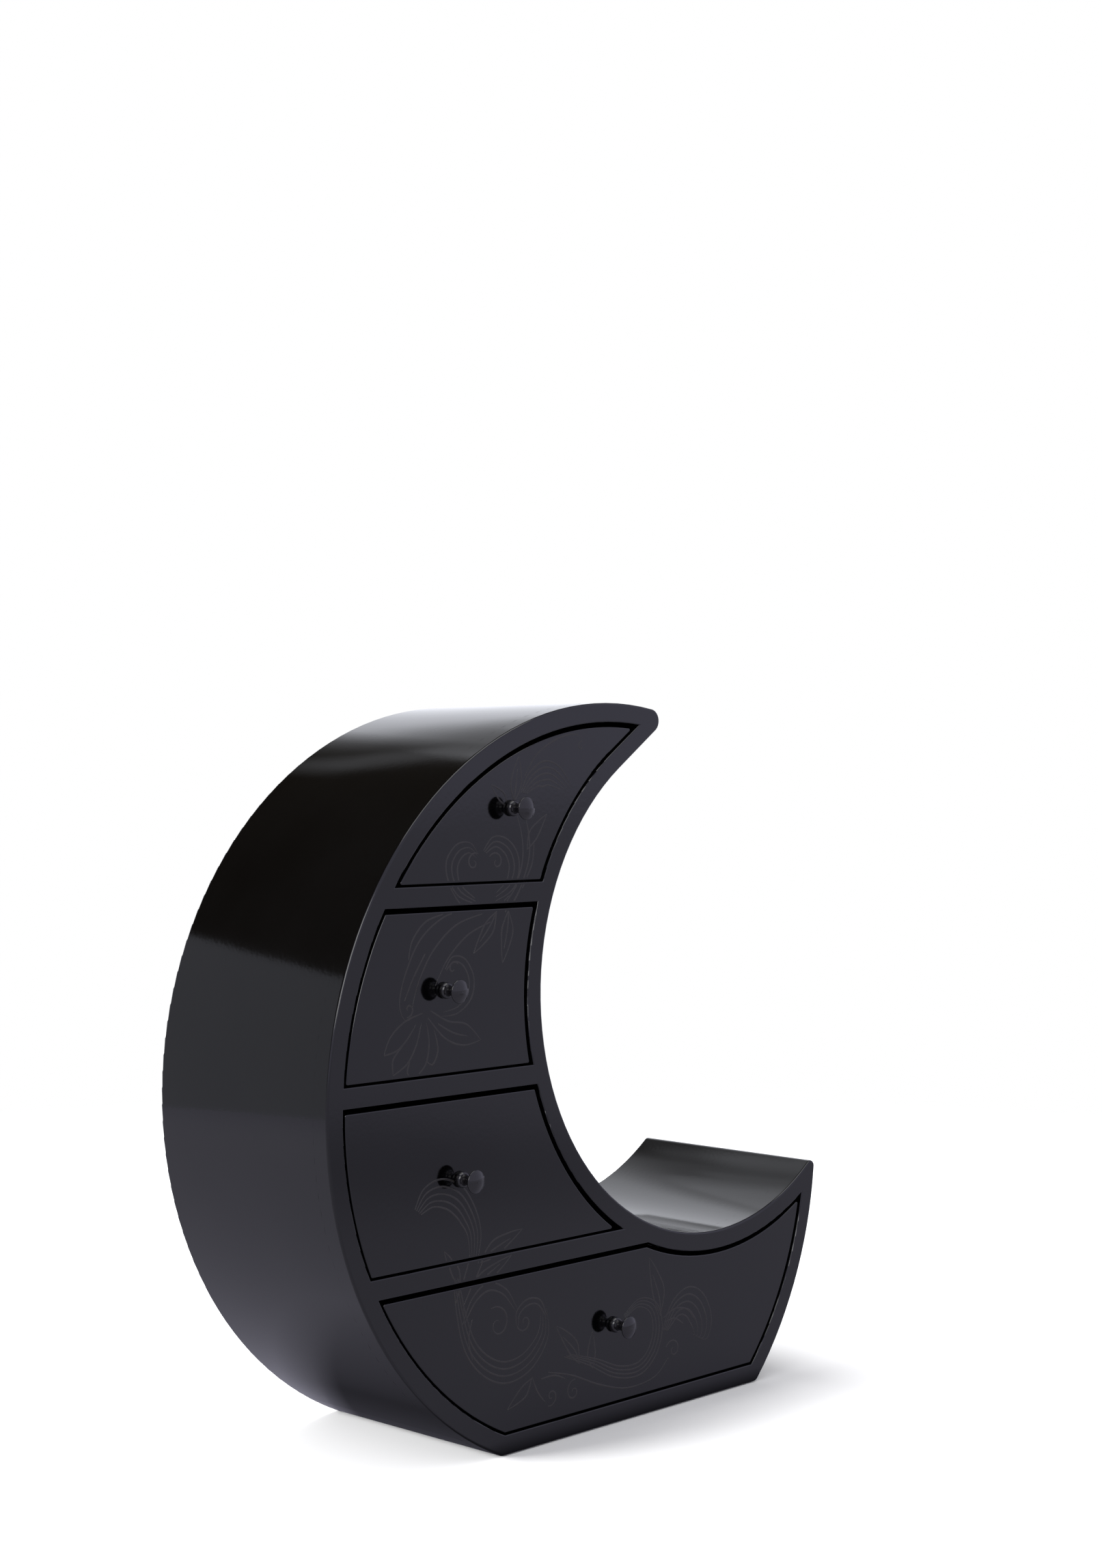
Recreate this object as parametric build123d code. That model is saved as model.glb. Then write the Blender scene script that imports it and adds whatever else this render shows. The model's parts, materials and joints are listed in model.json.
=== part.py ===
"""Crescent-moon jewelry armoire: a lacquered case of bent and flat boards with four inset drawers.

Millimetres. +X runs right along the front, +Y runs to the back, +Z is up. The origin lies on the
floor, under the middle of the case's width and depth. Every front view below is drawn in X and Z.
"""

import os
from math import atan2, cos, degrees, hypot, radians, sin, sqrt

from build123d import *

# Case
DEPTH = 150.0  # front face to back face
BOARD = 12.0  # every case board, the face frame and every drawer front
FELT = 0.5  # sheet under the base
OUTER = (14.5, 214.5, 235.5)  # centre X, centre Z and radius of the outer sweep
INNER = (115.8, 273.1, 166.0)  # the hollow of the moon
HORN = (-3.0, 158.8, 225.5)  # the end of the lower horn
TIP_ANGLE = 35.0  # degrees; the hollow runs straight from here to the upper tip
TIP_CUT_ANGLE = 12.0  # degrees; the joint between the bent boards and the tip block
TIP_ROUND = 7.5  # corner roundings of the front view
HORN_ROUND = 4.0
BASE_ROUND = 5.0
OUTER_ARRIS = 1.5  # rounded edge round the outside of the case
BAY_ARRIS = 0.7  # rounded edge round each drawer opening

# Shelves, counted from the bottom
LOWEST_SHELF = 108.6  # underside of the lowest one
SHELF_PITCH = 110.0
SHELF_NAMES = ("lower_shelf", "middle_shelf", "upper_shelf")

# Back
BACK_PANEL = 5.0  # thickness, let into a rebate of the same depth
REBATE_INSET = 5.0  # from the outside of the case to the rebate
PANEL_PLAY = 0.2
SCREW_INSET = 8.5  # line of the back screws
SCREW_RADIUS = 1.25
SCREW_HEAD_RADIUS = 2.6
SCREW_LENGTH = 16.0
SCREW_SUNK = 0.1  # from the back's face to the screw's head
OUTER_SCREWS = (100, 125, 150, 175, 200, 222)  # degrees round the outer sweep
INNER_SCREWS = (150, 178, 206, 234, 262, 290)  # degrees round the hollow
HORN_SCREW = -20.0  # degrees round the horn's end
BASE_SCREWS = (-40.0, 40.0, 120.0)  # X along the base

# Drawers
RECESS = 0.8  # drawer fronts sit this far behind the case's face
GAP = 2.0  # round each drawer front as it is cut
DROP = 0.9  # each drawer then sits this much low in its opening
FRONT_ROUND = 1.2  # corners of a drawer front
FRONT_ARRIS = 0.8
SIDE_PLAY = 0.4  # the box is this much smaller than its front
WALL = 6.0  # drawer sides and back
RUN_PLAY = 0.2  # between the box and the shelf it slides on
BOTTOM = 3.0  # drawer bottom panel
BOTTOM_LIFT = 4.0  # from the lower edge of the sides to the bottom panel
GROOVE = 3.0  # depth of the groove that holds the bottom panel
BACK_GAP = 0.3  # from the drawer's back to the back panel
LINING = 1.0  # velvet on card, on the walls
LINING_FLOOR = 2.0
LINING_DROP = 1.5  # the lining ends this far below the rim
RIM = 61.5  # height of the drawer sides above their shelf
TOP_RIM = 51.5  # the same in the top drawer
DRAWERS = ("bottom", "lower", "middle", "top")
KNOBS = ((16.0, 62.0), (-117.5, 169.0), (-130.5, 280.0), (-75.5, 385.0))  # X and Z

# Knob and its screw
KNOB_BASE_RADIUS = 4.9
KNOB_NECK_RADIUS = 2.9
KNOB_HEAD_RADIUS = 6.9
KNOB_LENGTH = 15.0
KNOB_FOOT = 3.4  # height of the foot
KNOB_WAIST = 6.0  # height of the neck's narrowest place
KNOB_FLARE = 8.4  # where the neck begins to open
KNOB_EDGE = 12.0  # the lower edge of the head
KNOB_RIM = 13.2  # where the head's dome begins
BOLT_RADIUS = 1.95
BOLT_HEAD_RADIUS = 4.0
BOLT_HEAD = 2.4
BOLT_IN_KNOB = 8.0
BOLT_HOLE_RADIUS = 2.3
KNOB_HOLE_RADIUS = 2.0

FRONT_Y = -DEPTH / 2
BACK_Y = DEPTH / 2
FRAME_Y = FRONT_Y + BOARD  # back of the face frame
BASE_TOP = FELT + BOARD
PANEL_Y = BACK_Y - BACK_PANEL  # inner face of the back panel
DRAWER_Y = FRONT_Y + RECESS  # face of the drawer fronts
BOX_Y = DRAWER_Y + BOARD  # back of the drawer fronts
BOX_END = PANEL_Y - BACK_GAP
FAR = 400.0  # beyond the case on every side


def grown(circle, by):
    """The circle with its radius changed."""
    return circle[0], circle[1], circle[2] + by


def on_circle(circle, angle):
    """The point at an angle in degrees, measured from +X towards +Z."""
    return circle[0] + circle[2] * cos(radians(angle)), circle[1] + circle[2] * sin(radians(angle))


def at_height(circle, z, side):
    """The circle's point at a height, on its left (-1) or right (+1) side."""
    return circle[0] + side * sqrt(circle[2] ** 2 - (z - circle[1]) ** 2), z


def angle_of(circle, point):
    return degrees(atan2(point[1] - circle[1], point[0] - circle[0]))


def right_meeting(a, b):
    """The rightmost of the two points where circles a and b cross."""
    dx, dz = b[0] - a[0], b[1] - a[1]
    apart = hypot(dx, dz)
    along = (a[2] ** 2 - b[2] ** 2 + apart**2) / (2 * apart)
    across = sqrt(a[2] ** 2 - along**2)
    foot = (a[0] + dx * along / apart, a[1] + dz * along / apart)
    step = (-dz * across / apart, dx * across / apart)
    return max((foot[0] + step[0], foot[1] + step[1]), (foot[0] - step[0], foot[1] - step[1]))


def tip_line(inset):
    """The start, on the hollow, and the end, on the outer sweep, of the straight edge at the tip."""
    start = on_circle(grown(INNER, inset), 90 + TIP_ANGLE)
    outer = grown(OUTER, -inset)
    ux, uz = cos(radians(TIP_ANGLE)), sin(radians(TIP_ANGLE))
    dx, dz = start[0] - outer[0], start[1] - outer[1]
    half = dx * ux + dz * uz
    run = -half + sqrt(half**2 - (dx**2 + dz**2 - outer[2] ** 2))
    return start, (start[0] + run * ux, start[1] + run * uz)


def moon(inset, floor):
    """The front view of the case taken in by inset and cut flat at the height floor, and its corners."""
    outer, inner, horn = grown(OUTER, -inset), grown(INNER, inset), grown(HORN, -inset)
    left, right = at_height(outer, floor, -1), at_height(horn, floor, 1)
    horn_tip = right_meeting(horn, inner)
    straight, tip = tip_line(inset)
    horn_middle = on_circle(horn, (angle_of(horn, right) + angle_of(horn, horn_tip)) / 2)
    edges = [
        Line(left, right),
        ThreePointArc(right, horn_middle, horn_tip),
        ThreePointArc(horn_tip, on_circle(inner, 200), straight),
        Line(straight, tip),
        ThreePointArc(tip, on_circle(outer, 170), left),
    ]
    return Face(Wire(edges)), {"left": left, "right": right, "horn": horn_tip, "tip": tip}


def rounded(face, corners):
    """The face with the corners nearest to the given points rounded, as (point, radius) pairs."""
    for point, radius in corners:
        nearest = min(face.vertices(), key=lambda v: hypot(v.X - point[0], v.Y - point[1]))
        face = face.fillet_2d(radius, [nearest])
    return face


def band(low, high):
    """Everything between two heights, as a face."""
    return Pos(0, (low + high) / 2) * Rectangle(4 * FAR, high - low)


def prism(face, front, back):
    """The solid of a front view between two depths."""
    return extrude(Plane.XZ.offset(-back) * face, amount=back - front)


def all_through(face):
    return prism(face, -FAR, FAR)


def half_plane(point, angle):
    """Everything beyond a point in a direction given in degrees."""
    return Pos(*point) * Rot(0, 0, angle) * Pos(2 * FAR, 0) * Rectangle(4 * FAR, 4 * FAR)


def bay_limits(number):
    """The lowest and highest level of the opening of drawer number, counted from the bottom."""
    low = BASE_TOP if number == 0 else LOWEST_SHELF + (number - 1) * SHELF_PITCH + BOARD
    high = LOWEST_SHELF + number * SHELF_PITCH if number < len(SHELF_NAMES) else FAR + OUTER[1]
    return low, high


def bay(number, inset=0.0):
    """The front view of a drawer's opening, taken in by inset."""
    floor, ceiling = bay_limits(number)
    region, _ = moon(BOARD + inset, BASE_TOP + inset)
    zone = band(floor + inset, ceiling - inset)
    if number == 0:
        zone = zone + half_plane((INNER[0], 0), 0)  # up into the horn, right of the hollow
    return region & zone


def only(shape):
    """The one solid of a shape, as a plain solid."""
    solids = shape.solids()
    assert len(solids) == 1, f"{len(solids)} solids where one was expected"
    return solids[0]


def save(name, *solids):
    shape = solids[0] if len(solids) == 1 else Compound(children=list(solids))
    shape.label = name
    export_step(shape, f"parts/{name}.step")


def cross_recess(radius, depth):
    """The cutter of a cross-head recess, sinking along -Z from the origin."""
    arm = Pos(0, 0, -depth / 2) * Box(2 * radius, radius * 0.42, depth)
    return arm + Rot(0, 0, 90) * arm


def back_screw_hole():
    """The hole of a countersunk screw, opening in the XY plane and running along -Z."""
    sink = SCREW_HEAD_RADIUS - SCREW_RADIUS
    mouth = Pos(0, 0, -SCREW_SUNK / 2) * Cylinder(SCREW_HEAD_RADIUS, SCREW_SUNK)
    countersink = Pos(0, 0, -SCREW_SUNK - sink / 2) * Cone(SCREW_RADIUS, SCREW_HEAD_RADIUS, sink)
    length = SCREW_SUNK + SCREW_LENGTH
    return mouth + countersink + Pos(0, 0, -length / 2) * Cylinder(SCREW_RADIUS, length)


def back_screw():
    """A countersunk screw that lies in back_screw_hole."""
    sink = SCREW_HEAD_RADIUS - SCREW_RADIUS
    point = 3.0
    shank_length = SCREW_LENGTH - sink - point
    head = Pos(0, 0, -sink / 2) * Cone(SCREW_RADIUS, SCREW_HEAD_RADIUS, sink)
    shank = Pos(0, 0, -sink - shank_length / 2) * Cylinder(SCREW_RADIUS, shank_length)
    tip = Pos(0, 0, -sink - shank_length - point / 2) * Cone(0.2, SCREW_RADIUS, point)
    return Pos(0, 0, -SCREW_SUNK) * only(head + shank + tip - cross_recess(1.5, 1.0))


def screw_places():
    """Where the back screws go, as X and Z."""
    places = [on_circle(grown(OUTER, -SCREW_INSET), a) for a in OUTER_SCREWS]
    places += [on_circle(grown(INNER, SCREW_INSET), a) for a in INNER_SCREWS]
    places.append(on_circle(grown(HORN, -SCREW_INSET), HORN_SCREW))
    places += [(x, FELT + SCREW_INSET) for x in BASE_SCREWS]
    return places


def whole_case():
    """All case boards as one solid, with its openings, rebate and rounded edges."""
    outline, corner = moon(0, FELT)
    roundings = (("left", BASE_ROUND), ("right", BASE_ROUND), ("horn", HORN_ROUND), ("tip", TIP_ROUND))
    outline = rounded(outline, [(corner[name], radius) for name, radius in roundings])
    case = only(prism(outline, FRONT_Y, BACK_Y))
    ends = case.edges().filter_by(lambda e: abs(abs(e.center().Y) - DEPTH / 2) < 0.01)
    case = case.fillet(OUTER_ARRIS, ends)
    for number in range(len(DRAWERS)):
        case = case - all_through(bay(number))
    face = case.faces().filter_by(lambda f: abs(f.center().Y - FRONT_Y) < 0.01).sort_by(SortBy.AREA)[-1]
    openings = [edge for wire in face.inner_wires() for edge in wire.edges()]
    case = only(case).fillet(BAY_ARRIS, openings)
    rebate, _ = moon(REBATE_INSET, FELT + REBATE_INSET)
    return only(case - prism(rebate, PANEL_Y, FAR))


def make_case():
    """The face frame, the bent and flat boards behind it, and the back with its screws."""
    places = [Pos(x, BACK_Y, z) * Rot(-90, 0, 0) for x, z in screw_places()]
    screw, hole = back_screw(), back_screw_hole()
    case = whole_case() - [place * hole for place in places]

    behind_frame = prism(band(-FAR, 2 * FAR), FRAME_Y, FAR)
    save("face_frame", only(case - behind_frame))
    case = case & behind_frame

    inside, corner = moon(BOARD, BASE_TOP)
    shelves = (case & all_through(inside)).solids().sort_by(Axis.Z)
    for name, shelf in zip(SHELF_NAMES, shelves, strict=True):
        save(name, shelf)

    walls = case - all_through(inside)
    beyond_tip = all_through(half_plane(corner["tip"], TIP_CUT_ANGLE) & band(INNER[1], 2 * FAR))
    base_slab = all_through(band(-FAR, BASE_TOP))
    straight, _ = tip_line(BOARD)
    under_straight = half_plane(straight, TIP_ANGLE) & half_plane(straight, TIP_ANGLE - 90)
    disc = Pos(INNER[0], INNER[1]) * Circle(INNER[2] + BOARD)
    hollow_zone = all_through(disc + under_straight)
    save("tip_block", only(walls & beyond_tip))
    walls = walls - beyond_tip
    save("base_board", only(walls & base_slab))
    walls = walls - base_slab
    save("inner_panel", only(walls & hollow_zone))
    outer, horn = (walls - hollow_zone).solids().sort_by(Axis.X)
    save("outer_panel", outer)
    save("horn_panel", horn)

    panel_face, _ = moon(REBATE_INSET + PANEL_PLAY, FELT + REBATE_INSET + PANEL_PLAY)
    panel = prism(panel_face, PANEL_Y, BACK_Y) - [place * hole for place in places]
    save("back_panel", only(panel))
    save("back_screws", *[place * screw for place in places])


def make_base_felt():
    """The felt sheet glued under the base, a little smaller than it."""
    left, right = at_height(OUTER, FELT, -1)[0], at_height(HORN, FELT, 1)[0]
    margin = BASE_ROUND + OUTER_ARRIS
    width, depth = right - left - 2 * margin, DEPTH - 2 * margin
    sheet = Pos((left + right) / 2, 0, FELT / 2) * Box(width, depth, FELT)
    upright = sheet.edges().filter_by(Axis.Z)
    save("base_felt", only(fillet(upright, BASE_ROUND)))


def knob():
    """A turned knob whose foot stands on the XY plane and whose head is along +Z."""
    foot, neck, head = KNOB_BASE_RADIUS, KNOB_NECK_RADIUS, KNOB_HEAD_RADIUS
    hole, hole_depth = KNOB_HOLE_RADIUS, BOLT_IN_KNOB + 0.5
    rim = head - 0.4
    rise = KNOB_LENGTH - KNOB_RIM
    dome = (rim**2 + rise**2) / (2 * rise)  # radius of the sphere that caps the head
    half_way = (rim / 2, KNOB_LENGTH - dome + sqrt(dome**2 - (rim / 2) ** 2))
    neck_foot, neck_top = (neck + 0.6, KNOB_FOOT + 0.2), (neck + 0.5, KNOB_FLARE)
    profile = [
        Line((hole, 0), (foot - 0.4, 0)),
        ThreePointArc((foot - 0.4, 0), (foot, KNOB_FOOT / 2), (foot - 0.9, KNOB_FOOT)),
        Line((foot - 0.9, KNOB_FOOT), neck_foot),
        ThreePointArc(neck_foot, (neck, KNOB_WAIST), neck_top),
        ThreePointArc(neck_top, (neck + 1.5, KNOB_EDGE - 1.2), (head - 0.5, KNOB_EDGE)),
        ThreePointArc((head - 0.5, KNOB_EDGE), (head, (KNOB_EDGE + KNOB_RIM) / 2), (rim, KNOB_RIM)),
        ThreePointArc((rim, KNOB_RIM), half_way, (0, KNOB_LENGTH)),
        Line((0, KNOB_LENGTH), (0, hole_depth)),
        Line((0, hole_depth), (hole, hole_depth)),
        Line((hole, hole_depth), (hole, 0)),
    ]
    return only(revolve(Plane.XZ * Face(Wire(profile)), Axis.Z))


def knob_bolt():
    """A pan-head screw whose head stands on the XY plane, along -Z, and whose shank runs along +Z."""
    length = BOARD + BOLT_IN_KNOB
    head = Pos(0, 0, -BOLT_HEAD / 2) * Cylinder(BOLT_HEAD_RADIUS, BOLT_HEAD)
    head = fillet(head.edges().sort_by(Axis.Z)[0], 1.2)
    shank = Pos(0, 0, length / 2) * Cylinder(BOLT_RADIUS, length)
    recess = Pos(0, 0, -BOLT_HEAD) * Rot(180, 0, 0) * cross_recess(2.0, 1.4)
    return only(head + shank - recess)


def make_drawer(number):
    """One drawer: its front, box, lining, knob and knob screw."""
    name = DRAWERS[number] + "_drawer"
    knob_x, knob_z = KNOBS[number]
    floor, _ = bay_limits(number)
    low = floor + RUN_PLAY
    rim = floor + (TOP_RIM if number == len(DRAWERS) - 1 else RIM)
    panel_low = low + BOTTOM_LIFT
    panel_high = panel_low + BOTTOM
    lowered = Pos(0, -DROP)

    def box_view(inset, bottom, top):
        """The front view of the box taken in by inset, between two heights."""
        around, _ = moon(BOARD + GAP + SIDE_PLAY + inset, BASE_TOP - FELT)
        return (lowered * around) & band(bottom, top)

    bottom_panel = only(prism(box_view(WALL - GROOVE, panel_low, panel_high), BOX_Y - GROOVE, BOX_END))
    save(name + "_bottom", bottom_panel)

    outline = lowered * bay(number, GAP)
    outline = rounded(outline.face(), [((v.X, v.Y), FRONT_ROUND) for v in outline.vertices()])
    front = only(prism(outline, DRAWER_Y, BOX_Y))
    face_edges = front.edges().filter_by(lambda e: abs(e.center().Y - DRAWER_Y) < 0.01)
    front = front.fillet(FRONT_ARRIS, face_edges)
    bolt_hole = Pos(knob_x, DRAWER_Y, knob_z) * Rot(90, 0, 0) * Cylinder(BOLT_HOLE_RADIUS, 3 * BOARD)
    save(name + "_front", only(front - bottom_panel - bolt_hole))

    ring = prism(box_view(0, low, rim), BOX_Y, BOX_END) - all_through(box_view(WALL, low - 1, rim + 1))
    left, right = ring.solids().sort_by(Axis.X)
    save(name + "_left_side", only(left - bottom_panel))
    save(name + "_right_side", only(right - bottom_panel))

    inside = box_view(WALL, panel_high, rim)
    save(name + "_back", only(prism(inside, BOX_END - WALL, BOX_END)))

    lining_top = rim - LINING_DROP
    block = prism(box_view(WALL, panel_high, lining_top), BOX_Y, BOX_END - WALL)
    room = box_view(WALL + LINING, panel_high + LINING_FLOOR, rim)
    lining = block - prism(room, BOX_Y + LINING, BOX_END - WALL - LINING)
    lining = lining - Pos(knob_x, BOX_Y, knob_z) * Rot(90, 0, 0) * Cylinder(BOLT_HEAD_RADIUS + 1.2, 3 * LINING)
    save(name + "_lining", only(lining))

    save(name + "_knob", Pos(knob_x, DRAWER_Y, knob_z) * Rot(90, 0, 0) * knob())
    save(name + "_knob_screw", Pos(knob_x, BOX_Y, knob_z) * Rot(90, 0, 0) * knob_bolt())


os.makedirs("parts", exist_ok=True)
make_case()
make_base_felt()
for drawer in range(len(DRAWERS)):
    make_drawer(drawer)
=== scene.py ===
"""The looks of the crescent jewelry armoire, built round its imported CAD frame. Metres throughout."""

import json
from math import cos, pi, radians, sin

import bmesh
import bpy
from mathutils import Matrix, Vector
from mathutils.bvhtree import BVHTree


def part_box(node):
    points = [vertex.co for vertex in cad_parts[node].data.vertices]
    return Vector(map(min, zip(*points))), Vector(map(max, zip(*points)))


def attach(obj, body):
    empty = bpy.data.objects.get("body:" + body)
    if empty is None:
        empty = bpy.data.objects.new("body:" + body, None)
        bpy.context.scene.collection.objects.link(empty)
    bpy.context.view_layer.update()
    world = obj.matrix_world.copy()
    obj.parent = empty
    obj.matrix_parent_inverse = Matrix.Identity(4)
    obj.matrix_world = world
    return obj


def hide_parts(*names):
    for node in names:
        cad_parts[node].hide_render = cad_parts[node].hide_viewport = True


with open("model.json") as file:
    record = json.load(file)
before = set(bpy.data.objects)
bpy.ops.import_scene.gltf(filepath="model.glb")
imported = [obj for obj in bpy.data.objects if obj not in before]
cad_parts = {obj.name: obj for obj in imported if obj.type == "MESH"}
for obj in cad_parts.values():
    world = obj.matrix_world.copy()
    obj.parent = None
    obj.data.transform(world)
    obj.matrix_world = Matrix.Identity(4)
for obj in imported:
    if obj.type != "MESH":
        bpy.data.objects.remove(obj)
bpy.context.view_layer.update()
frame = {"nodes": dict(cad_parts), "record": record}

MM = 0.001
DRAWERS = ("bottom_drawer", "lower_drawer", "middle_drawer", "top_drawer")

# Camera: level, looking from the left front
CAMERA_AT = (-1.0629, -1.0441, 0.3994)
CAMERA_YAW = 46.49  # degrees from +Y towards +X
CAMERA_LENS = 53.32
SENSOR = 36.0

# Floor: pale to the camera, and much duller in the lacquer
FLOOR_SIZE = 60.0
FLOOR_SEEN = (0.93, 0.93, 0.93)
FLOOR_MIRRORED = (0.10, 0.10, 0.11)  # the part of its reflection that takes shadows
FLOOR_GLOW = (0.32, 0.31, 0.40)  # and the even part, which takes none
FAR_MIRRORED = (0.54, 0.53, 0.66)
PAINTED_SHADE_AT = (0.60, -0.95, 0.0)  # painted shade: a dimmer place in the floor's reflection in front, seen in the third front from the top
FLOOR_NEAR, FLOOR_FAR = 0.8, 1.5  # the lit floor fades into an even glow between these radii

# Reflector cards behind the piece
WALL_Y = 1.05
DIM_LEFT, DIM_RIGHT, DIM_TOP = -6.0, 0.35, 0.81
DIM_GLOW = (0.93, 0.95, 1.08), 0.47  # colour and strength
BRIGHT_LEFT, BRIGHT_RIGHT, BRIGHT_TOP = 0.10, 4.0, 2.2
BRIGHT_GLOW = (0.95, 0.97, 1.04), 1.3
BRIGHT_NEARER = 0.002  # how far it stands in front of the dim card
BRIGHT_FALL = (  # share of the glow by height above one metre
    (0.0, 1.0), (0.05, 0.88), (0.10, 0.70), (0.15, 0.54),
    (0.20, 0.42), (0.26, 0.33), (0.34, 0.33), (0.45, 0.42),
)
STREAK_FROM, STREAK_SLOPE = 0.24, 0.5  # a faint streak runs up to the right from this X

# Lamps, and the room round the piece
LAMP_COLOUR = (1.0, 1.0, 1.02)
LAMP_CARDS = {  # strength and corners of the bright cards that only glint on edges and knobs
    "overhead_card": (2.6, [(-1.4, -1.7, 3.2), (1.3, -1.7, 3.2), (1.3, -0.1, 3.2), (-1.4, -0.1, 3.2)]),
    "left_card": (4.5, [(-2.5, -1.0, 0.8), (-1.4, -2.5, 0.8), (-1.4, -2.5, 2.4), (-2.5, -1.0, 2.4)]),
}
SOFT_LIGHTS = {  # place, diameter and watts
    "key": ((0.1, 0.9, 2.6), 1.6, 42),
    "fill": ((-2.2, 0.6, 1.0), 0.8, 95),
}
DOME = (0.95, 0.95, 0.97)  # the even light that falls on everything
ROOM_FRONT = (0.73, 0.72, 0.93)  # the room in the gloss, on the front's side
ROOM_BEHIND = (0.030, 0.025, 0.018)
BLACK, WHITE = (0.0, 0.0, 0.0), (1.0, 1.0, 1.0)


# ---------------------------------------------------------------- node helpers
class Nodes:
    """A short way to write a node tree."""

    def __init__(self, tree):
        self.tree = tree
        tree.nodes.clear()

    def add(self, kind, inputs=None, **settings):
        node = self.tree.nodes.new(kind)
        for name, value in settings.items():
            setattr(node, name, value)
        for socket, value in (inputs or {}).items():
            self.put(node, socket, value)
        return node

    def put(self, node, socket, value):
        """Links a socket of another node, or sets a plain value."""
        if isinstance(value, bpy.types.NodeSocket):
            self.tree.links.new(value, node.inputs[socket])
        else:
            node.inputs[socket].default_value = value

    def math(self, operation, a, b=0.0):
        return self.add("ShaderNodeMath", {0: a, 1: b}, operation=operation).outputs[0]

    def scaled(self, value, factor, extra):
        return self.math("ADD", self.math("MULTIPLY", value, factor), extra)

    def ramp(self, factor, *stops):
        """A colour ramp. A stop is (place, grey) or (place, (r, g, b))."""
        node = self.add("ShaderNodeValToRGB", {0: factor})
        elements = node.color_ramp.elements
        while len(elements) < len(stops):
            elements.new(0.5)
        for element, (place, colour) in zip(elements, stops):
            element.position = place
            element.color = (*colour, 1) if isinstance(colour, tuple) else (colour, colour, colour, 1)
        return node.outputs[0]

    def noise(self, place, scale, detail=4.0, roughness=0.55, distortion=0.0):
        inputs = {"Vector": place, "Scale": scale, "Detail": detail, "Roughness": roughness}
        return self.add("ShaderNodeTexNoise", {**inputs, "Distortion": distortion}).outputs[0]

    def mix(self, factor, a, b):
        node = self.add("ShaderNodeMix", data_type="RGBA")
        for socket, value in ((0, factor), (6, a), (7, b)):
            self.put(node, socket, value if not isinstance(value, tuple) else (*value, 1))
        return node.outputs[2]

    def bump(self, height, distance, strength=1.0, normal=None):
        inputs = {"Height": height, "Distance": distance, "Strength": strength}
        if normal is not None:
            inputs["Normal"] = normal
        return self.add("ShaderNodeBump", inputs).outputs[0]

    def surface(self, inputs):
        return self.add("ShaderNodeBsdfPrincipled", inputs).outputs[0]


def material(name, build):
    """A material with the surface that build(nodes, place) returns; place is in the object's own metres."""
    made = bpy.data.materials.new(name)
    made.use_nodes = True
    nodes = Nodes(made.node_tree)
    place = nodes.add("ShaderNodeTexCoord").outputs["Object"]
    surface = build(nodes, place)
    nodes.add("ShaderNodeOutputMaterial", {"Surface": surface})
    return made


def stretched(nodes, place, x, y, z):
    """The point scaled by a factor along each axis, for grain and brush marks."""
    return nodes.add("ShaderNodeMapping", {"Vector": place, "Scale": (x, y, z)}).outputs[0]


# ---------------------------------------------------------------- materials
def lacquer(nodes, place):
    """Black lacquer rubbed to a satin gloss: faint orange peel, hazy patches and a few dust nibs."""
    haze = nodes.noise(place, 9.0, 3.0)
    rub = nodes.noise(stretched(nodes, place, 30, 8, 60), 1.0, 5.0, 0.6)
    rough = nodes.math("ADD", nodes.math("MULTIPLY", haze, 0.05), nodes.math("MULTIPLY", rub, 0.03))
    peel = nodes.noise(place, 420.0, 2.0, 0.4)
    nib_cells = nodes.add("ShaderNodeTexVoronoi", {"Vector": place, "Scale": 70.0}).outputs["Distance"]
    nibs = nodes.ramp(nib_cells, (0.0, 1.0), (0.022, 0.0))
    wave = nodes.noise(place, 11.0, 1.0)
    normal = nodes.bump(wave, 0.22 * MM)
    normal = nodes.bump(peel, 0.012 * MM, normal=normal)
    normal = nodes.bump(nibs, 0.02 * MM, normal=normal)
    share = nodes.ramp(haze, (0.35, 0.0), (0.7, 1.0))
    colour = nodes.mix(share, (0.0009, 0.0008, 0.0008), (0.0015, 0.0014, 0.0014))
    rough = nodes.math("ADD", rough, 0.045)
    inputs = {"Base Color": colour, "Roughness": rough, "Normal": normal, "IOR": 1.5}
    return nodes.surface(inputs)


def scroll_ink(nodes, place):
    """The ghost ornament: a slightly browner, duller line in the lacquer."""
    wear = nodes.noise(place, 160.0, 4.0, 0.6)
    share = nodes.ramp(wear, (0.3, 0.0), (0.7, 1.0))
    colour = nodes.mix(share, (0.010, 0.0085, 0.0065), (0.019, 0.016, 0.0125))
    rough = nodes.scaled(wear, 0.15, 0.34)
    normal = nodes.bump(wear, 0.01 * MM)
    inputs = {"Base Color": colour, "Roughness": rough, "Normal": normal, "IOR": 1.5}
    return nodes.surface(inputs)


def knob_paint(nodes, place):
    """Gloss black enamel on turned metal, with faint turning marks under it."""
    haze = nodes.noise(place, 120.0, 3.0)
    turned = nodes.noise(stretched(nodes, place, 1, 1500, 1), 1.0, 2.0)
    colour = nodes.mix(haze, (0.006, 0.0055, 0.0055), (0.012, 0.011, 0.011))
    rough = nodes.scaled(haze, 0.08, 0.03)
    normal = nodes.bump(turned, 0.006 * MM)
    inputs = {"Base Color": colour, "Roughness": rough, "Normal": normal, "IOR": 1.5}
    return nodes.surface(inputs)


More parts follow.
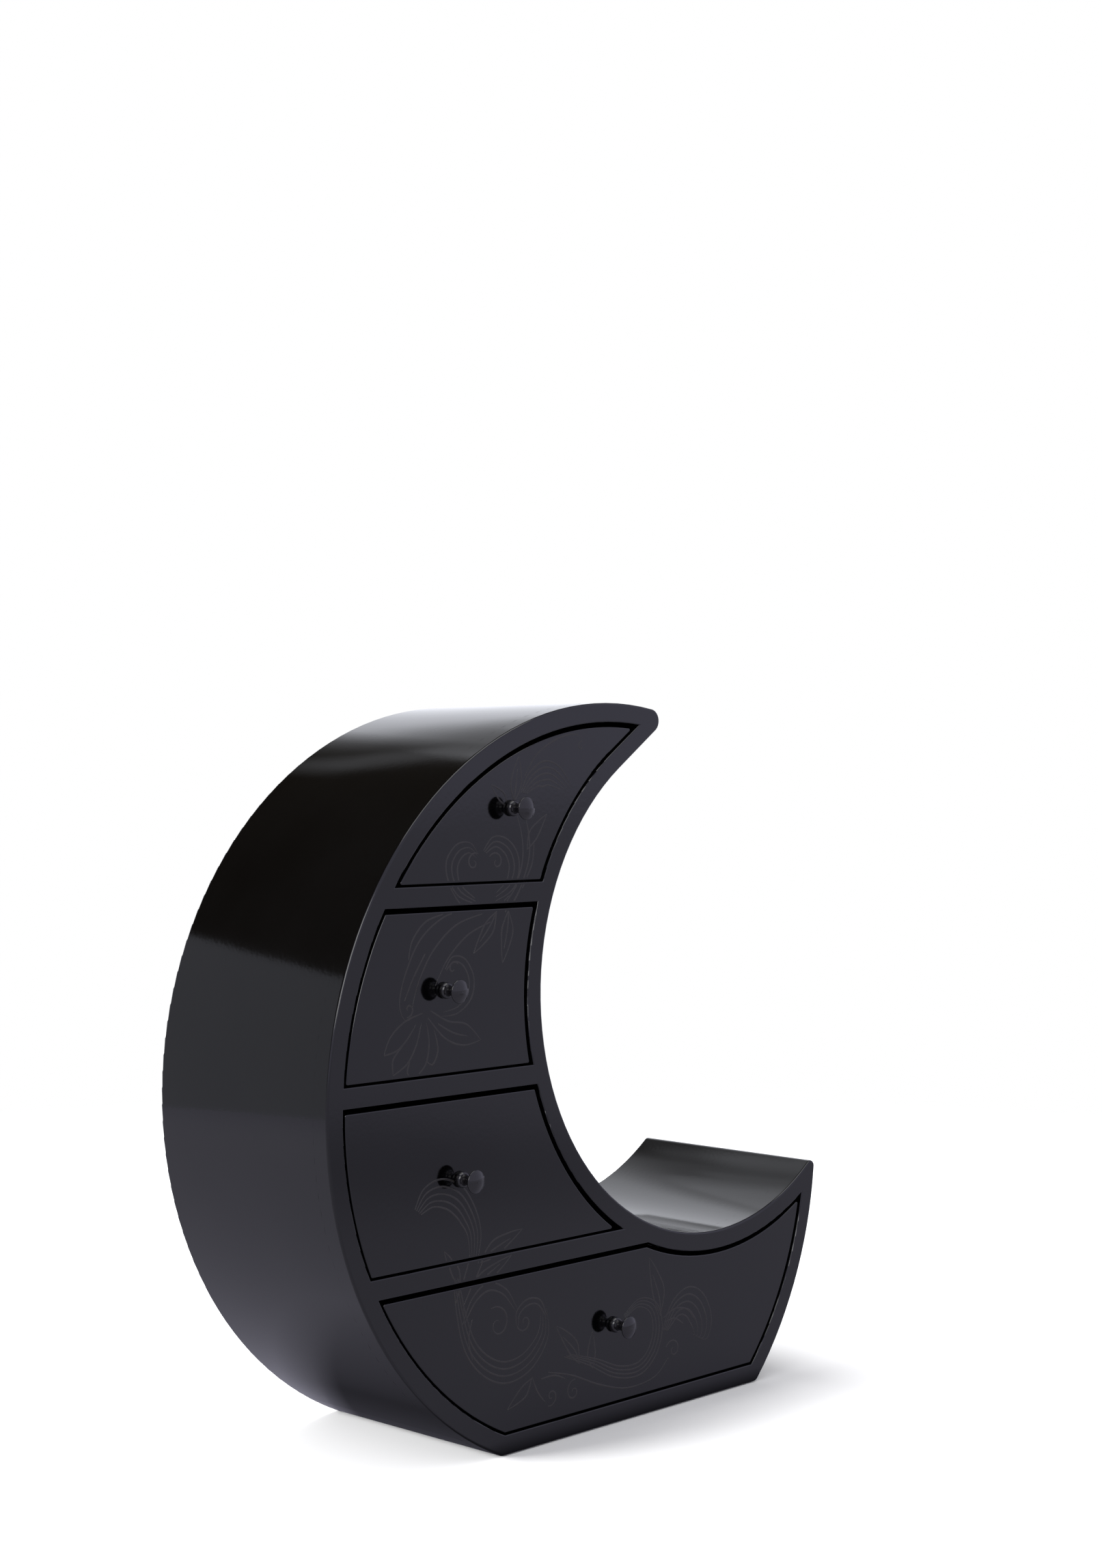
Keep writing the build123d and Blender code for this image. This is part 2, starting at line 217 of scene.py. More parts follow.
def box_board(nodes, place):
    """Thin board stained black, with open grain along the drawer and a dull wax finish."""
    grain = nodes.noise(stretched(nodes, place, 260, 9, 260), 1.0, 8.0, 0.62, 0.4)
    pores = nodes.noise(stretched(nodes, place, 1400, 30, 1400), 1.0, 3.0, 0.6)
    broad = nodes.noise(place, 14.0, 3.0)
    share = nodes.ramp(grain, (0.36, 0.0), (0.66, 1.0))
    base = nodes.mix(share, (0.013, 0.010, 0.008), (0.040, 0.031, 0.024))
    colour = nodes.mix(nodes.math("MULTIPLY", broad, 0.35), base, (0.020, 0.016, 0.014))
    open_pores = nodes.ramp(pores, (0.34, 0.0), (0.44, 1.0))
    height = nodes.math("ADD", grain, nodes.math("MULTIPLY", open_pores, 0.8))
    rough = nodes.scaled(grain, 0.2, 0.42)
    inputs = {"Base Color": colour, "Roughness": rough, "Normal": nodes.bump(height, 0.05 * MM, 0.7)}
    return nodes.surface(inputs)


def back_board(nodes, place):
    """Black-painted hardboard: matt, with a fine pressed texture and brushed-out paint."""
    fibre = nodes.noise(place, 900.0, 6.0, 0.7)
    strokes = nodes.noise(stretched(nodes, place, 12, 1, 240), 1.0, 4.0, 0.6)
    share = nodes.ramp(strokes, (0.3, 0.0), (0.75, 1.0))
    colour = nodes.mix(share, (0.010, 0.0095, 0.0095), (0.021, 0.020, 0.019))
    rough = nodes.scaled(strokes, 0.2, 0.38)
    height = nodes.scaled(fibre, 0.6, strokes)
    inputs = {"Base Color": colour, "Roughness": rough, "Normal": nodes.bump(height, 0.05 * MM, 0.8)}
    return nodes.surface(inputs)


def velvet(nodes, place):
    """Burgundy velvet: short pile that leans in patches and catches light along its edges."""
    pile = nodes.noise(place, 2600.0, 2.0, 0.8)
    lean = nodes.noise(place, 45.0, 4.0, 0.6, 0.6)
    crush = nodes.noise(stretched(nodes, place, 160, 60, 160), 1.0, 3.0)
    shade = nodes.math("ADD", nodes.math("MULTIPLY", lean, 0.7), nodes.math("MULTIPLY", pile, 0.3))
    share = nodes.ramp(shade, (0.3, 0.0), (0.7, 1.0))
    colour = nodes.mix(share, (0.055, 0.004, 0.010), (0.155, 0.014, 0.028))
    height = nodes.math("ADD", pile, nodes.math("MULTIPLY", crush, 0.8))
    inputs = {
        "Base Color": colour, "Roughness": 0.95, "Normal": nodes.bump(height, 0.25 * MM, 0.6),
        "Sheen Weight": 0.8, "Sheen Roughness": 0.35, "Sheen Tint": (0.85, 0.35, 0.4, 1),
        "Specular IOR Level": 0.15,
    }
    return nodes.surface(inputs)


def felt(nodes, place):
    """Black wool felt, matted and a little dusty."""
    fibre = nodes.noise(place, 1500.0, 5.0, 0.75, 1.0)
    mat = nodes.noise(place, 180.0, 3.0)
    shade = nodes.math("ADD", nodes.math("MULTIPLY", fibre, 0.5), nodes.math("MULTIPLY", mat, 0.5))
    share = nodes.ramp(shade, (0.35, 0.0), (0.65, 1.0))
    colour = nodes.mix(share, (0.012, 0.012, 0.013), (0.035, 0.034, 0.035))
    inputs = {
        "Base Color": colour, "Roughness": 0.97, "Normal": nodes.bump(shade, 0.2 * MM, 0.7),
        "Sheen Weight": 0.3, "Sheen Roughness": 0.5, "Specular IOR Level": 0.1,
    }
    return nodes.surface(inputs)


def zinc(nodes, place):
    """Zinc-plated steel, faintly mottled."""
    mottle = nodes.noise(place, 700.0, 4.0, 0.65)
    colour = nodes.mix(mottle, (0.42, 0.40, 0.36), (0.70, 0.69, 0.66))
    rough = nodes.scaled(mottle, 0.25, 0.22)
    normal = nodes.bump(mottle, 0.01 * MM)
    inputs = {"Base Color": colour, "Metallic": 1.0, "Roughness": rough, "Normal": normal}
    return nodes.surface(inputs)


FINISHES = {
    "lacquer": material("black_lacquer", lacquer),
    "knob_metal": material("knob_enamel", knob_paint),
    "box_wood": material("stained_board", box_board),
    "back_board": material("painted_hardboard", back_board),
    "velvet": material("burgundy_velvet", velvet),
    "felt": material("black_felt", felt),
    "steel": material("zinc_plate", zinc),
}
SCROLL_INK = material("scroll_ink", scroll_ink)


def finish_cad_nodes():
    """Gives every CAD node the finish of its slot in the record."""
    for part in frame["record"]["subparts"]:
        node = frame["nodes"][part["node"]]
        node.data.materials.clear()
        node.data.materials.append(FINISHES[part["material_slot"]])


# ---------------------------------------------------------------- studio
def place_camera():
    """The camera that took the photograph, as fitted to it."""
    camera = bpy.data.objects.new("camera", bpy.data.cameras.new("camera"))
    camera.data.sensor_width, camera.data.lens = SENSOR, CAMERA_LENS
    camera.location = CAMERA_AT
    camera.rotation_euler = (radians(90), 0, -radians(CAMERA_YAW))
    bpy.context.scene.collection.objects.link(camera)
    bpy.context.scene.camera = camera


def flat_mesh(name, corners, finish):
    """One flat face of the studio."""
    mesh = bpy.data.meshes.new(name)
    mesh.from_pydata(corners, [], [tuple(range(len(corners)))])
    mesh.materials.append(finish)
    made = bpy.data.objects.new(name, mesh)
    bpy.context.scene.collection.objects.link(made)
    return made


def painted_floor_shade(nodes, place):
    """Painted shade in the floor's reflection: how much of it is darkened below the curved side, and at one
    place in front.
    """
    x, y, _ = nodes.add("ShaderNodeSeparateXYZ", {0: place}).outputs
    across = nodes.ramp(nodes.math("ADD", x, 0.25), (0.02, 0.0), (0.13, 0.85))
    along = nodes.ramp(nodes.math("ADD", y, 0.2), (0.10, 0.0), (0.125, 1.0), (0.25, 1.0), (0.31, 0.0))
    inputs = {0: place, 1: PAINTED_SHADE_AT}
    away = nodes.add("ShaderNodeVectorMath", inputs, operation="DISTANCE").outputs["Value"]
    in_front = nodes.ramp(away, (0.12, 0.24), (0.45, 0.0))
    return nodes.math("MAXIMUM", nodes.math("MULTIPLY", across, along), in_front)


def pale_floor(nodes, place):
    """A pale floor that reads duller in the lacquer than it does to the eye."""
    seen = nodes.add("ShaderNodeLightPath").outputs["Is Camera Ray"]
    # painted shade: the floor's reflection is darkened below the curved side and at one place in front
    painted_shade = painted_floor_shade(nodes, place)
    mirrored, even, far = (
        nodes.mix(painted_shade, colour, BLACK) for colour in (FLOOR_MIRRORED, FLOOR_GLOW, FAR_MIRRORED)
    )
    lit = nodes.add("ShaderNodeBsdfDiffuse", {"Color": nodes.mix(seen, mirrored, FLOOR_SEEN)}).outputs[0]
    even = nodes.add("ShaderNodeEmission", {"Color": nodes.mix(seen, even, BLACK)}).outputs[0]
    near = nodes.add("ShaderNodeAddShader", {0: lit, 1: even}).outputs[0]
    far = nodes.add("ShaderNodeEmission", {"Color": nodes.mix(seen, far, WHITE)}).outputs[0]
    reach = nodes.add("ShaderNodeVectorMath", {0: place}, operation="LENGTH").outputs["Value"]
    inputs = {"Value": reach, "From Min": FLOOR_NEAR, "From Max": FLOOR_FAR}
    share = nodes.add("ShaderNodeMapRange", inputs, interpolation_type="SMOOTHSTEP").outputs[0]
    return nodes.add("ShaderNodeMixShader", {0: share, 1: near, 2: far}).outputs[0]


def lay_floor():
    half = FLOOR_SIZE / 2
    corners = [(-half, -half, 0), (half, -half, 0), (half, half, 0), (-half, half, 0)]
    flat_mesh("floor", corners, material("pale_floor", pale_floor))


def glow(colour, strength):
    """The build function of a plain emitting surface."""

    def build(nodes, place):
        return nodes.add("ShaderNodeEmission", {"Color": (*colour, 1), "Strength": strength}).outputs[0]

    return build


def bright(nodes, place):
    """A glow that falls off upwards and to the left, and lets the room through as it fades."""
    x, _, z = nodes.add("ShaderNodeSeparateXYZ", {0: place}).outputs
    above = nodes.math("SUBTRACT", z, 1.0)
    areas = [  # each a falloff in height and one across, and the brightest of them shows
        (nodes.ramp(above, *BRIGHT_FALL),
         nodes.ramp(x, (0.28, 0.0), (0.38, 0.12), (0.46, 0.3), (0.58, 0.97))),
        (nodes.ramp(above, (0.22, 0.0), (0.30, 0.45), (0.36, 0.5), (0.45, 1.0)),
         nodes.ramp(x, (0.34, 0.0), (0.43, 0.7), (0.52, 0.55), (0.60, 0.40))),
        (nodes.ramp(above, (0.22, 0.0), (0.34, 1.0)), nodes.ramp(x, (0.50, 0.0), (0.68, 0.48))),
        (nodes.ramp(above, (0.08, 0.0), (0.18, 1.0)), nodes.ramp(x, (0.66, 0.0), (0.76, 0.5), (0.90, 0.75))),
    ]
    slant = nodes.math("MULTIPLY", nodes.math("SUBTRACT", x, STREAK_FROM), STREAK_SLOPE)
    streak = nodes.math("SUBTRACT", above, slant)
    streak = nodes.ramp(streak, (0.10, 0.0), (0.20, 0.17), (0.25, 0.17), (0.32, 0.0))
    share = nodes.math("MULTIPLY", streak, nodes.ramp(x, (0.12, 0.0), (STREAK_FROM, 1.0)))
    for upward, across in areas:
        share = nodes.math("MAXIMUM", share, nodes.math("MULTIPLY", upward, across))
    lit = glow(*BRIGHT_GLOW)(nodes, place)
    clear = nodes.add("ShaderNodeBsdfTransparent").outputs[0]
    return nodes.add("ShaderNodeMixShader", {0: share, 1: clear, 2: lit}).outputs[0]


def show_only_in_gloss(made):
    for ray in ("camera", "diffuse", "transmission", "volume_scatter", "shadow"):
        setattr(made, "visible_" + ray, False)


def hang_cards():
    """Reflectors behind the piece, and lamp cards over it and to its left."""
    cards = (
        ("dim_card", DIM_LEFT, DIM_RIGHT, DIM_TOP, WALL_Y, glow(*DIM_GLOW)),
        ("bright_card", BRIGHT_LEFT, BRIGHT_RIGHT, BRIGHT_TOP, WALL_Y - BRIGHT_NEARER, bright),
    )
    for name, left, right, top, y, build in cards:
        corners = [(left, y, 0), (right, y, 0), (right, y, top), (left, y, top)]
        show_only_in_gloss(flat_mesh(name, corners, material(name, build)))
    for name, (strength, corners) in LAMP_CARDS.items():
        show_only_in_gloss(flat_mesh(name, corners, material(name, glow(LAMP_COLOUR, strength))))


def light_world():
    """White to the camera. In the gloss it is dark behind the piece and grey in front of it."""
    world = bpy.data.worlds.new("studio")
    bpy.context.scene.world = world
    world.use_nodes = True
    nodes = Nodes(world.node_tree)
    direction = nodes.add("ShaderNodeTexCoord").outputs["Generated"]
    _, y, _ = nodes.add("ShaderNodeSeparateXYZ", {0: direction}).outputs
    behind = nodes.scaled(y, 0.5, 0.5)
    room = nodes.ramp(behind, (0.40, ROOM_FRONT), (0.56, ROOM_BEHIND))
    ray = nodes.add("ShaderNodeLightPath").outputs
    colour = nodes.mix(ray["Is Diffuse Ray"], room, DOME)
    colour = nodes.mix(ray["Is Camera Ray"], colour, WHITE)
    background = nodes.add("ShaderNodeBackground", {"Color": colour, "Strength": 1.0}).outputs[0]
    nodes.add("ShaderNodeOutputWorld", {"Surface": background})


def soft_light(name, at, size, power):
    """A round lamp aimed at the origin, which never shows as a highlight."""
    lamp = bpy.data.lights.new(name, "AREA")
    lamp.shape, lamp.size, lamp.energy = "DISK", size, power
    made = bpy.data.objects.new(name, lamp)
    made.location = at
    made.rotation_euler = Vector(at).to_track_quat("Z", "Y").to_euler()
    made.visible_glossy = False
    bpy.context.scene.collection.objects.link(made)


def build_studio():
    place_camera()
    lay_floor()
    hang_cards()
    light_world()
    for name, (at, size, power) in SOFT_LIGHTS.items():
        soft_light(name, at, size, power)


# ---------------------------------------------------------------- ornament
SCROLL_STEP = 0.5 * MM
SCROLL_RISE = 0.05 * MM  # above the face
SCROLL_SINK = 0.03 * MM  # into the face
SCROLL_LAYER = 0.002 * MM  # each line stands this much over the last, so crossings stay clean
SCROLL_LAYERS = 20  # after which the heights start again
KNOB_CLEAR = 5.3 * MM  # no line comes nearer to a knob's axis
LINE = 1.25  # full width of a line, millimetres
SCROLL_FLAT = 0.6  # share of a line's width that is flat on top
SCROLL_MARGIN = 1.3  # a line's place is tested this many times its own width
SHORTEST_RUN = 4  # stations
FACE_SLACK = 0.002 * MM  # a point this near a front's face is on it
SPIRAL_STEPS = 14  # in one turn of a curl
SPIRAL_EYE = 0.18  # radius of a curl's eye, as a share of its first radius


def tree_of(node):
    """A search tree over a CAD node's faces."""
    mesh = frame["nodes"][node].data
    points = [vertex.co for vertex in mesh.vertices]
    return BVHTree.FromPolygons(points, [tuple(polygon.vertices) for polygon in mesh.polygons])


def smooth_line(points):
    """A Catmull-Rom curve through points in millimetres, as metres a step apart."""
    ends = [points[0], *points, points[-1]]
    made = []
    for a, b, c, d in zip(ends, ends[1:], ends[2:], ends[3:]):
        a, b, c, d = (Vector(p) * MM for p in (a, b, c, d))
        steps = max(2, round((c - b).length / SCROLL_STEP))
        for k in range(steps):
            t = k / steps
            curve = 2 * b + (c - a) * t + (2 * a - 5 * b + 4 * c - d) * t**2
            made.append((curve + (3 * b - a - 3 * c + d) * t**3) / 2)
    made.append(Vector(points[-1]) * MM)
    return made


def spiral(centre, radius, start, turns):
    """A curl that winds in from radius to its eye, from start in degrees; turns below 0 are clockwise."""
    steps = round(abs(turns) * SPIRAL_STEPS) + 1
    points = []
    for k in range(steps + 1):
        share = k / steps
        reach = radius * SPIRAL_EYE**share
        angle = radians(start) + 2 * pi * turns * share
        points.append((centre[0] + reach * cos(angle), centre[1] + reach * sin(angle)))
    return points


def leaf(base, tip, bulge, lean=0.0):
    """A pointed leaf as two edges and a midrib; lean bends it sideways."""
    base, tip = Vector(base), Vector(tip)
    along = tip - base
    side = Vector((-along.y, along.x)).normalized()
    strokes = []
    for wide, reach in ((bulge + lean, 1.0), (lean - bulge, 1.0), (lean * 0.9, 0.72)):
        near = base + along * 0.35 * reach + side * wide
        far = base + along * 0.72 * reach + side * (wide * 0.62)
        strokes.append([tuple(base), tuple(near), tuple(far), tuple(base + along * reach)])
    return strokes


def nested(line, towards, count, gap):
    """A line and those inside it, each drawn a little nearer to a point, most of all in its middle."""
    strokes = [line]
    for k in range(1, count):
        shares = [gap * k * sin(pi * (0.1 + 0.75 * step / (len(line) - 1))) for step in range(len(line))]
        strokes.append([tuple(Vector(p).lerp(Vector(towards), share)) for p, share in zip(line, shares)])
    return strokes


def scroll_strokes():
    """Every line of the ornament, as X and Z in millimetres, drawer by drawer from the top."""
    top = [
        [(-84, 326), (-72, 339), (-66, 354), (-67, 370), (-74, 388)],
        [(-75, 329), (-65, 343), (-60, 358), (-62, 375), (-69, 392)],
        [(-67, 337), (-58, 351), (-56, 365)],
        *nested([(-106, 329), (-120, 334), (-128, 344), (-129, 355), (-121, 364), (-110, 365), (-103, 358)],
                (-111, 350), 3, 0.26),
        spiral((-107, 353), 6.5, 60, 1.1), spiral((-88, 353), 7, 150, -1.1),
        *nested([(-99, 360), (-91, 368), (-80, 367), (-71, 359), (-69, 347), (-76, 336), (-90, 330)],
                (-86, 351), 3, 0.26),
        [(-128, 341), (-119, 330), (-105, 325), (-90, 326), (-78, 333)],
        *leaf((-73, 389), (-69, 416), 4.4), *leaf((-79, 386), (-93, 399), 2.8, -1.2)[:2],
        *nested([(-67, 394), (-61, 405), (-48, 413), (-34, 410), (-22, 397)], (-48, 393), 5, 0.19),
        [(-64, 404), (-54, 417), (-38, 426), (-22, 430), (-13, 428)], spiral((-14.5, 422.5), 3.4, 70, 1.0),
        *leaf((-62, 360), (-45, 381), 3.6, 1.5)[:2],
    ]
    middle = [
        [(-110, 327), (-132, 322), (-150, 310), (-161, 292), (-166, 275), (-162, 265), (-155, 266)],
        [(-100, 323), (-122, 317), (-140, 303), (-151, 286), (-156, 272)],
        [(-93, 318), (-112, 311), (-128, 298), (-138, 283)], [(-146, 302), (-155, 289), (-162, 276)],
        spiral((-159, 271), 5, 250, 1.0),
        [(-132, 324), (-146, 320), (-156, 310), (-159, 299)],
        *leaf((-88, 324), (-107, 300), 4.0, 1.0), *leaf((-78, 324), (-83, 293), 4.6, 1.0),
        [(-68, 338), (-73, 331), (-81, 323)],
        *nested([(-130, 292), (-124, 299), (-114, 297), (-107, 286), (-109, 274), (-120, 266), (-134, 265)],
                (-121, 283), 2, 0.28),
        spiral((-124, 292), 5, 30, 0.9),
        [(-142, 269), (-128, 262), (-113, 259), (-101, 249)],
        [(-144, 265), (-130, 252), (-115, 247), (-101, 249)],
        [(-136, 261), (-124, 255), (-112, 252)],
        [(-148, 268), (-162, 264), (-173, 256), (-178, 246)],
        [(-178, 246), (-168, 248), (-160, 254), (-153, 262)],
        [(-164, 250), (-171, 243), (-171, 234)], [(-171, 234), (-160, 240), (-153, 250), (-149, 262)],
        [(-158, 241), (-160, 235), (-156, 230)], [(-156, 230), (-146, 238), (-143, 250), (-145, 262)],
        [(-145, 240), (-140, 238), (-136, 246), (-139, 258)],
    ]
    lower = [
        *nested([(-154, 156), (-147, 167), (-133, 171), (-117, 165), (-106, 151), (-101, 135), (-104, 118)],
                (-127, 136), 5, 0.14),
        [(-100, 119), (-108, 106), (-115, 95)], [(-110, 124), (-116, 110), (-122, 96)],
        *leaf((-102, 118), (-66, 133), 4.6, 1.5), *leaf((-112, 105), (-76, 119), 3.8, -1.0),
        *leaf((-119, 106), (-131, 129), 3.0, -1.2)[:2],
    ]
    bottom = [
        *nested([(-123, 112), (-121, 92), (-114, 68), (-99, 51), (-79, 43), (-58, 48), (-44, 64), (-45, 82)],
                (-82, 86), 4, 0.10),
        *nested([(-45, 78), (-51, 88), (-62, 90), (-71, 84), (-71, 75)], (-60, 77), 2, 0.28),
        spiral((-64, 77), 7, 190, 1.1),
        *nested([(-116, 84), (-108, 98), (-95, 105), (-80, 99), (-70, 85)], (-92, 82), 2, 0.2),
        spiral((-87, 79), 12, 120, -1.25), [(-108, 62), (-111, 74), (-108, 86)],
        [(-121, 112), (-116, 98), (-115, 84)],
        *leaf((-58, 42), (-79, 27), 3.4, 1.6)[:2],
        [(-58, 43), (-53, 33), (-46, 25)], spiral((-41, 28), 6.4, 240, 1.2),
        spiral((-21, 27), 7.6, 80, 1.25),
        [(-50, 40), (-38, 40), (-28, 36)],
        *leaf((-16, 43), (-37, 70), 4.4, -2.5), *leaf((-4, 38), (-4, 61), 3.4, 1.0)[:2],
        *nested([(-30, 50), (-8, 41), (16, 29), (40, 26), (56, 36), (62, 53), (56, 69), (40, 74), (25, 66)],
                (34, 52), 4, 0.11),
        [(-44, 43), (-22, 37), (2, 27), (28, 20), (54, 22), (68, 32)],
        *leaf((60, 60), (49, 99), 5.4, -2.5), [(63, 58), (74, 62), (86, 60), (94, 52)],
        [(64, 55), (74, 56), (83, 51)],
        *nested([(62, 50), (72, 67), (88, 74), (103, 67), (111, 51), (107, 38), (98, 39)],
                (84, 47), 5, 0.19),
        spiral((73, 36), 8, 160, -1.2),
    ]
    return top + middle + lower + bottom


def painted_faces():
    """The front faces that carry the ornament, as (body, tree, depth of the face)."""
    faces = []
    for node, body in (("face_frame", "case"), *((name + "_front", name) for name in DRAWERS)):
        faces.append((body, tree_of(node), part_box(node)[0].y))
    return faces


def body_under(faces, x, z):
    """The body whose flat front shows at a point of the front view, and the depth there."""
    for body, tree, depth in faces:
        hit, _, _, _ = tree.ray_cast(Vector((x, depth - 0.01, z)), Vector((0, 1, 0)))
        if hit is not None and abs(hit.y - depth) < FACE_SLACK:
            return body, depth
    return None


def line_runs(faces, knobs, line):
    """Cuts one line where it leaves a face or meets a knob.

    Each run is (body, depth, [(point, side, half width)]).
    """
    runs = []
    last = None
    for k, point in enumerate(line):
        ahead, behind = line[min(k + 1, len(line) - 1)], line[max(k - 1, 0)]
        direction = (ahead - behind).normalized()
        side = Vector((-direction.y, direction.x))
        share = k / (len(line) - 1)
        half = LINE / 2 * MM * (0.3 + 0.7 * sin(pi * min(1, 0.08 + share * 0.95)) ** 0.6)
        tested = (point + side * half * SCROLL_MARGIN * way for way in (-1, 0, 1))
        found = {body_under(faces, *spot) for spot in tested}
        clear = all((point - knob).length > KNOB_CLEAR for knob in knobs)
        place = found.pop() if len(found) == 1 and clear else None
        if place is None:
            last = None
            continue
        if place != last:
            runs.append((*place, []))
            last = place
        runs[-1][2].append((point, side, half))
    return [run for run in runs if len(run[2]) >= SHORTEST_RUN]


def add_run(mesh, depth, stations, rise):
    """Lays one run into a bmesh as a closed low ridge."""
    section = ((-1, SCROLL_SINK), (-SCROLL_FLAT, -rise), (SCROLL_FLAT, -rise), (1, SCROLL_SINK))
    rings = []
    for point, side, half in stations:
        ring = []
        for across, back in section:
            x, z = point + side * half * across
            ring.append(mesh.verts.new((x, depth + back, z)))
        rings.append(ring)
    for a, b in zip(rings, rings[1:]):
        for k in range(4):
            mesh.faces.new((a[k], a[(k + 1) % 4], b[(k + 1) % 4], b[k]))
    mesh.faces.new(rings[0])
    mesh.faces.new(reversed(rings[-1]))


def new_piece(name, mesh, finish, body):
    """Turns a bmesh into a piece that rides on a body."""
    bmesh.ops.recalc_face_normals(mesh, faces=mesh.faces)
    data = bpy.data.meshes.new(name)
    mesh.to_mesh(data)
    mesh.free()
    data.materials.append(finish)
    made = bpy.data.objects.new(name, data)
    bpy.context.scene.collection.objects.link(made)
    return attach(made, body)


def smooth(made):
    for polygon in made.data.polygons:
        polygon.use_smooth = True


def paint_scrolls():
    """The ornament as one low raised piece for each body that carries it."""
    faces = painted_faces()
    knobs = []
    for name in DRAWERS:
        low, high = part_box(name + "_knob")
        knobs.append(Vector(((low.x + high.x) / 2, (low.z + high.z) / 2)))
    meshes = {body: bmesh.new() for body, _, _ in faces}
    for k, stroke in enumerate(scroll_strokes()):
        rise = SCROLL_RISE + SCROLL_LAYER * (k % SCROLL_LAYERS)
        for body, depth, stations in line_runs(faces, knobs, smooth_line(stroke)):
            add_run(meshes[body], depth, stations, rise)
    for body, mesh in meshes.items():
        new_piece(body + "_scrolls", mesh, SCROLL_INK, body)


# ---------------------------------------------------------------- drawer linings
HEM = 0.35 * MM  # rounding of the lining's edges
CREASE = radians(30)
PAD_RISE = 2.6 * MM
PAD_PLAY = 0.8 * MM
PAD_ROWS = 40
PAD_POWER, PAD_ROUND = 7, 0.6  # powers that make the crown flat in the middle and round at the rim
PAD_PUFF = 0.06  # how unevenly the stuffing lies, as a share
PAD_PULL = 0.012, 0.02  # how far the ends and the long sides are drawn in, as shares
PAD_BELLY = 0.8  # depth of the underside, in radii of the cord
WELT = 0.7 * MM  # radius of the cord round the pad
WELT_SPANS = 24  # along each side of the pad
WELT_SIDES = 10
MERGE = 0.001 * MM  # points nearer than this are one point


def line_walls(name):
    """The velvet-covered card: the CAD lining with softened edges."""
    node = frame["nodes"][name + "_lining"]
    mesh = bmesh.new()
    mesh.from_mesh(node.data)
    bmesh.ops.remove_doubles(mesh, verts=mesh.verts, dist=MERGE)
    bmesh.ops.dissolve_limit(mesh, angle_limit=radians(0.5), verts=mesh.verts, edges=mesh.edges)
    sharp = [e for e in mesh.edges if len(e.link_faces) == 2 and e.calc_face_angle() > CREASE]
    rounding = {"offset": HEM, "segments": 3, "profile": 0.5, "affect": "EDGES", "clamp_overlap": True}
    bmesh.ops.bevel(mesh, geom=sharp, **rounding)
    made = new_piece(name + "_velvet", mesh, FINISHES["velvet"], name)
    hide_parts(name + "_lining")


def inside_of(name):
    """The room on the lining's floor: lowest and highest X, then Y, and the floor's height."""
    tree = tree_of(name + "_lining")
    low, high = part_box(name + "_bottom")
    middle = (low + high) / 2
    floor = tree.ray_cast(middle + Vector((0, 0, 0.02)), Vector((0, 0, -1)))[0].z
    start = Vector((middle.x, middle.y, floor + PAD_RISE / 2))
    ways = (-1, 0, 0), (1, 0, 0), (0, -1, 0), (0, 1, 0)
    reach = [tree.ray_cast(start, Vector(way))[0] for way in ways]
    return reach[0].x, reach[1].x, reach[2].y, reach[3].y, floor


def pad_place(centre, half, u, v):
    """X and Y of a place on the pad, where u and v run from -1 to 1 and the sides are drawn in."""
    pull_x = 1 - PAD_PULL[0] * (1 - v * v) * abs(u) ** 3
    pull_y = 1 - PAD_PULL[1] * (1 - u * u) * abs(v) ** 3
    return centre.x + half.x * u * pull_x, centre.y + half.y * v * pull_y


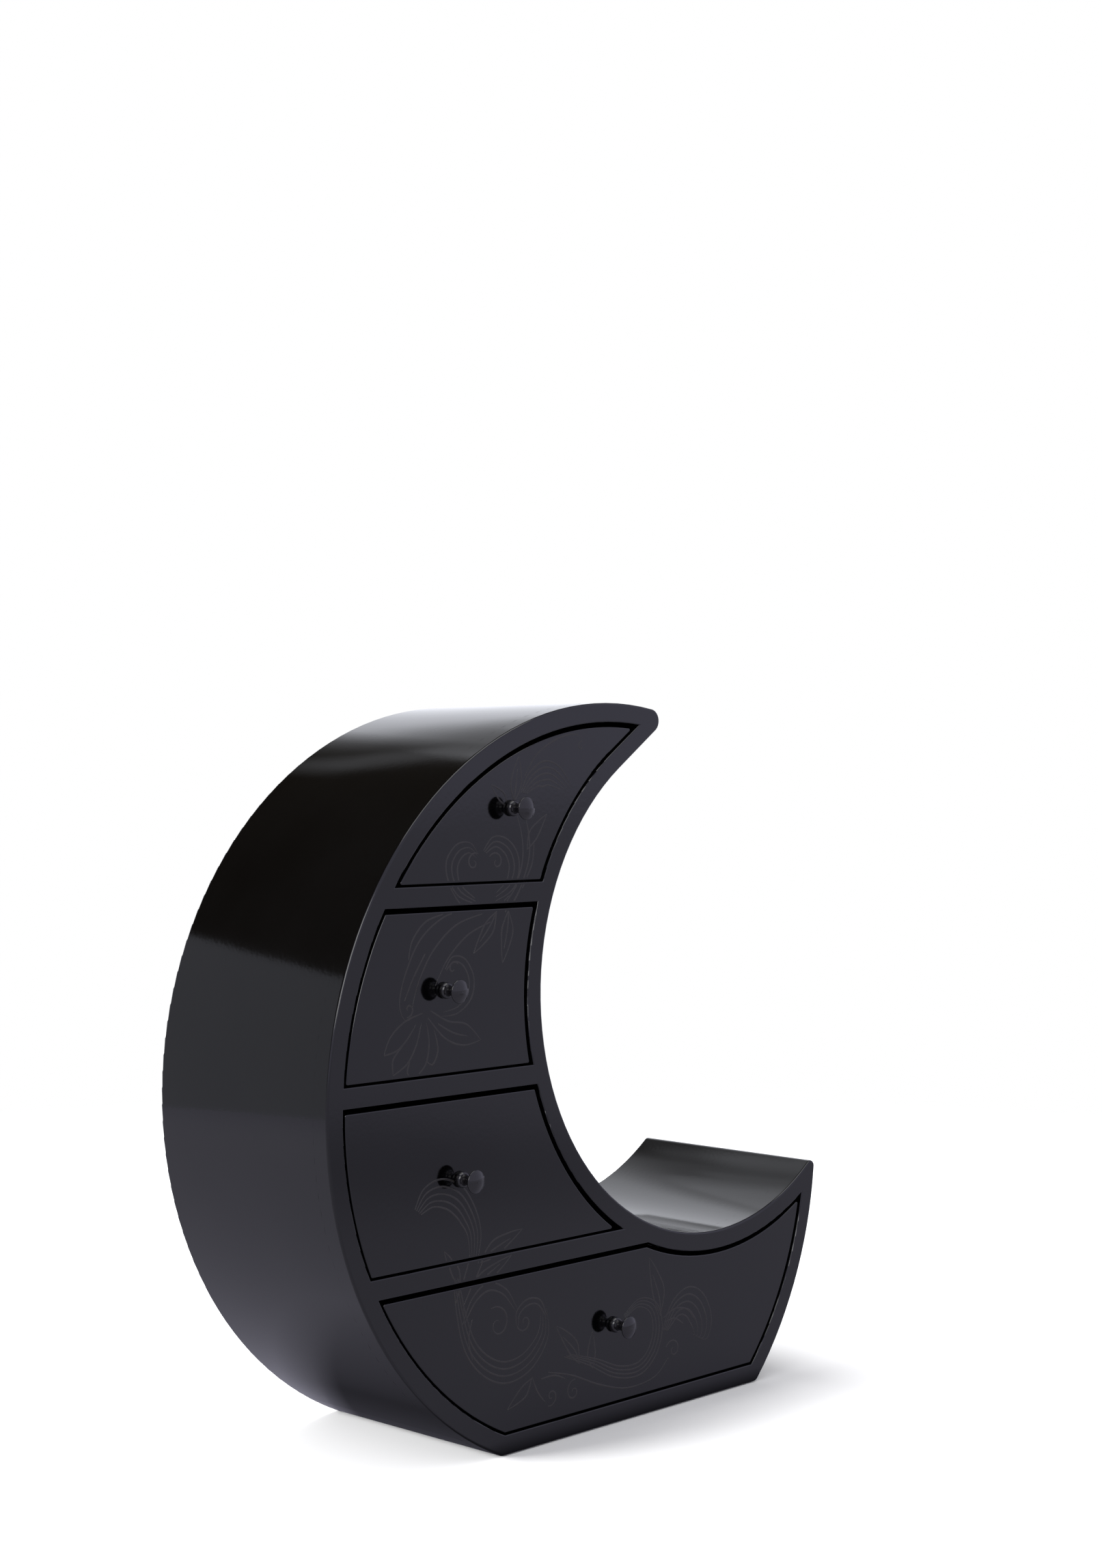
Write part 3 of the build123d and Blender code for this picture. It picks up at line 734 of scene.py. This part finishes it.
def lay_pad(name):
    """A thin stuffed pad on the lining's floor, crowned, with a corded edge."""
    left, right, front, back, floor = inside_of(name)
    centre = Vector(((left + right) / 2, (front + back) / 2))
    half = Vector(((right - left) / 2 - PAD_PLAY - WELT, (back - front) / 2 - PAD_PLAY - WELT))
    columns = round(PAD_ROWS * half.x / half.y)
    mesh = bmesh.new()
    sheets = []
    for rise in (PAD_RISE, -WELT * PAD_BELLY):
        sheet = []
        for i in range(columns + 1):
            for j in range(PAD_ROWS + 1):
                u, v = 2 * i / columns - 1, 2 * j / PAD_ROWS - 1
                crown = ((1 - abs(u) ** PAD_POWER) * (1 - abs(v) ** PAD_POWER)) ** PAD_ROUND
                puff = 1 + PAD_PUFF * sin(9 * u + 2 * v) * sin(7 * v - u)
                height = floor + WELT + rise * crown * puff
                sheet.append(mesh.verts.new((*pad_place(centre, half, u, v), height)))
        sheets.append(sheet)
    for sheet in sheets:
        for i in range(columns):
            for j in range(PAD_ROWS):
                a = i * (PAD_ROWS + 1) + j
                mesh.faces.new([sheet[k] for k in (a, a + 1, a + PAD_ROWS + 2, a + PAD_ROWS + 1)])
    bmesh.ops.remove_doubles(mesh, verts=mesh.verts, dist=MERGE)
    made = new_piece(name + "_pad", mesh, FINISHES["velvet"], name)
    smooth(made)
    add_welt(name, centre, half, floor + WELT)


def add_welt(name, centre, half, height):
    """The covered cord round a pad, following its drawn-in sides."""
    rim = []
    for u0, v0, du, dv in ((-1, -1, 1, 0), (1, -1, 0, 1), (1, 1, -1, 0), (-1, 1, 0, -1)):
        for k in range(WELT_SPANS):
            u, v = u0 + 2 * du * k / WELT_SPANS, v0 + 2 * dv * k / WELT_SPANS
            rim.append(pad_place(centre, half, u, v))
    mesh = bmesh.new()
    rings = []
    for k, (x, y) in enumerate(rim):
        (ax, ay), (bx, by) = rim[k - 1], rim[(k + 1) % len(rim)]
        out = Vector((by - ay, ax - bx)).normalized()
        ring = []
        for step in range(WELT_SIDES):
            angle = 2 * pi * step / WELT_SIDES
            push = out * WELT * cos(angle)
            ring.append(mesh.verts.new((x + push.x, y + push.y, height + WELT * sin(angle))))
        rings.append(ring)
    for a, b in zip(rings, rings[1:] + rings[:1]):
        for k in range(WELT_SIDES):
            after = (k + 1) % WELT_SIDES
            mesh.faces.new((a[k], a[after], b[after], b[k]))
    smooth(new_piece(name + "_welt", mesh, FINISHES["velvet"], name))


finish_cad_nodes()
paint_scrolls()
for drawer in DRAWERS:
    line_walls(drawer)
    lay_pad(drawer)
build_studio()

bpy.context.scene.view_settings.view_transform = "Standard"
